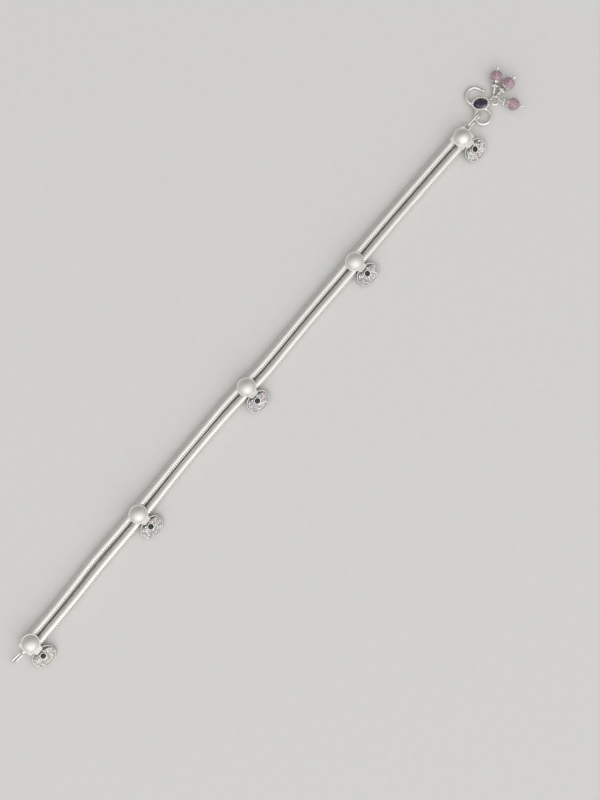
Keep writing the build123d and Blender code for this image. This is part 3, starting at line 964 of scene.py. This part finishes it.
class PAYAL_OT_set_stage(bpy.types.Operator):
    """Lay the floor, and set the lamps, the world and the camera"""

    bl_idname = "payal.set_stage"
    bl_label = "Set Stage"
    bl_options = {"REGISTER", "UNDO"}

    lit_side = (-0.48, -0.68, 0.55)
    # The room is darkest where a direction faces the lit side by the first share, and palest by the second.
    lit_range = (-0.83, 0.98)
    room_strengths = (0.12, 1.08)
    key_azimuth = -122
    key_elevation = 40
    key_distance = 2.0
    key_size = 3.6
    key_aim = Vector((9, -17, 0))
    camera_azimuth = 220.36
    camera_elevation = 87.12
    camera_aim = Vector((8.76, -16.98, 0))
    frame_width = 280.81  # how much the camera's longer side takes in at the anklet's distance
    sensor = 36

    def floor(self, context):
        deselect()
        bpy.ops.mesh.primitive_plane_add(size=12, location=(0, 0, -0.02 * MM))
        floor = context.object
        floor.name = "floor"
        # Matt paper board.
        material, tree, shader = new_material("paper_board_matt")
        place_on = add_node(tree, "ShaderNodeTexCoord")
        fibres = add_node(
            tree,
            "ShaderNodeTexNoise",
            {"Vector": place_on.outputs["Object"], "Scale": 1 / (3 * MM), "Detail": 4.0},
        )
        pale = context.scene.payal_stage.floor
        tones = [tuple(c * share for c in pale) for share in (0.97, 1.03)]
        tree.links.new(mix_colour(tree, fibres.outputs["Fac"], *tones), shader.inputs["Base Color"])
        shader.inputs["Roughness"].default_value = 0.9
        shader.inputs["Specular IOR Level"].default_value = 0.2
        floor.data.materials.append(material)

    def back_from(self, azimuth, elevation):
        """The direction from the anklet to something that stands at a bearing and height, both in degrees."""
        a, e = radians(azimuth), radians(elevation)
        return Vector((cos(e) * cos(a), cos(e) * sin(a), sin(e)))

    def lamp(self, context):
        """A square softbox that stands back from the point it is aimed at."""
        data = bpy.data.lights.new("key_softbox", "AREA")
        data.shape = "SQUARE"
        data.size = self.key_size
        data.energy = context.scene.payal_stage.key
        lamp = bpy.data.objects.new("key_softbox", data)
        context.scene.collection.objects.link(lamp)
        back = self.back_from(self.key_azimuth, self.key_elevation)
        lamp.location = self.key_aim * MM + back * self.key_distance
        lamp.rotation_mode = "QUATERNION"
        lamp.rotation_quaternion = (-back).to_track_quat("-Z", "Y")

    def world(self, context):
        """A plain grey room, paler overhead and on the key light's side."""
        world = bpy.data.worlds.new("room")
        context.scene.world = world
        world.use_nodes = True
        tree = world.node_tree
        tree.nodes.clear()
        way = add_node(tree, "ShaderNodeTexCoord")
        ways = {0: way.outputs["Generated"], 1: self.lit_side}
        facing = add_node(tree, "ShaderNodeVectorMath", ways, operation="DOT_PRODUCT")
        strength = map_range(tree, facing.outputs["Value"], self.lit_range, self.room_strengths)
        light = add_node(tree, "ShaderNodeBackground", {"Strength": strength})
        light.inputs["Color"].default_value = (1, 1, 1, 1)
        add_node(tree, "ShaderNodeOutputWorld", {"Surface": light.outputs["Background"]})

    def camera(self, context):
        data = bpy.data.cameras.new("camera")
        camera = bpy.data.objects.new("camera", data)
        context.scene.collection.objects.link(camera)
        distance = context.scene.payal_stage.distance
        data.lens = self.sensor * distance / (self.frame_width * MM)
        back = self.back_from(self.camera_azimuth, self.camera_elevation)
        camera.location = self.camera_aim * MM + back * distance
        camera.rotation_mode = "QUATERNION"
        camera.rotation_quaternion = (-back).to_track_quat("-Z", "Y")
        data.clip_start, data.clip_end = 0.01, 50
        context.scene.camera = camera

    def execute(self, context):
        context.scene.view_settings.view_transform = "Standard"
        self.floor(context)
        self.lamp(context)
        self.world(context)
        self.camera(context)
        return {"FINISHED"}


class PAYAL_PT_panel(bpy.types.Panel):
    """Lists the anklet's pieces and their sizes and colours"""

    bl_label = "Payal Anklet"
    bl_idname = "PAYAL_PT_panel"
    bl_space_type = "VIEW_3D"
    bl_region_type = "UI"
    bl_category = "Payal"

    def draw(self, context):
        scene = context.scene
        for heading, owner, names, action in (
            ("Chains", scene.payal_chain, ("ribs", "groove", "seam", "wave"), PAYAL_OT_weave_chains),
            ("Charms", scene.payal_charm, ("bead", "stone", "pitch", "grain"), PAYAL_OT_pave_charms),
            ("Finish", scene.payal_finish, ("silver", "tarnish", "violet", "mauve"), PAYAL_OT_finish_sliders),
            ("Stage", scene.payal_stage, ("floor", "key", "distance"), PAYAL_OT_set_stage),
        ):
            box = self.layout.box()
            box.label(text=heading)
            for name in names:
                box.prop(owner, name)
            box.operator(action.bl_idname)
        self.layout.operator(PAYAL_OT_finish_hook.bl_idname)
        self.layout.operator(PAYAL_OT_string_drops.bl_idname)


CLASSES = (
    PayalChainSettings,
    PayalCharmSettings,
    PayalFinishSettings,
    PayalStageSettings,
    PAYAL_OT_weave_chains,
    PAYAL_OT_finish_sliders,
    PAYAL_OT_pave_charms,
    PAYAL_OT_finish_hook,
    PAYAL_OT_string_drops,
    PAYAL_OT_set_stage,
    PAYAL_PT_panel,
)


def register():
    for cls in CLASSES:
        bpy.utils.register_class(cls)
    bpy.types.Scene.payal_chain = PointerProperty(type=PayalChainSettings)
    bpy.types.Scene.payal_charm = PointerProperty(type=PayalCharmSettings)
    bpy.types.Scene.payal_finish = PointerProperty(type=PayalFinishSettings)
    bpy.types.Scene.payal_stage = PointerProperty(type=PayalStageSettings)


def unregister():
    for name in ("payal_stage", "payal_finish", "payal_charm", "payal_chain"):
        delattr(bpy.types.Scene, name)
    for cls in reversed(CLASSES):
        bpy.utils.unregister_class(cls)


def main():
    register()
    bpy.ops.payal.set_stage()
    bpy.ops.payal.weave_chains()
    bpy.ops.payal.finish_sliders()
    bpy.ops.payal.pave_charms()
    bpy.ops.payal.finish_hook()
    bpy.ops.payal.string_drops()


if __name__ == "__main__":
    main()
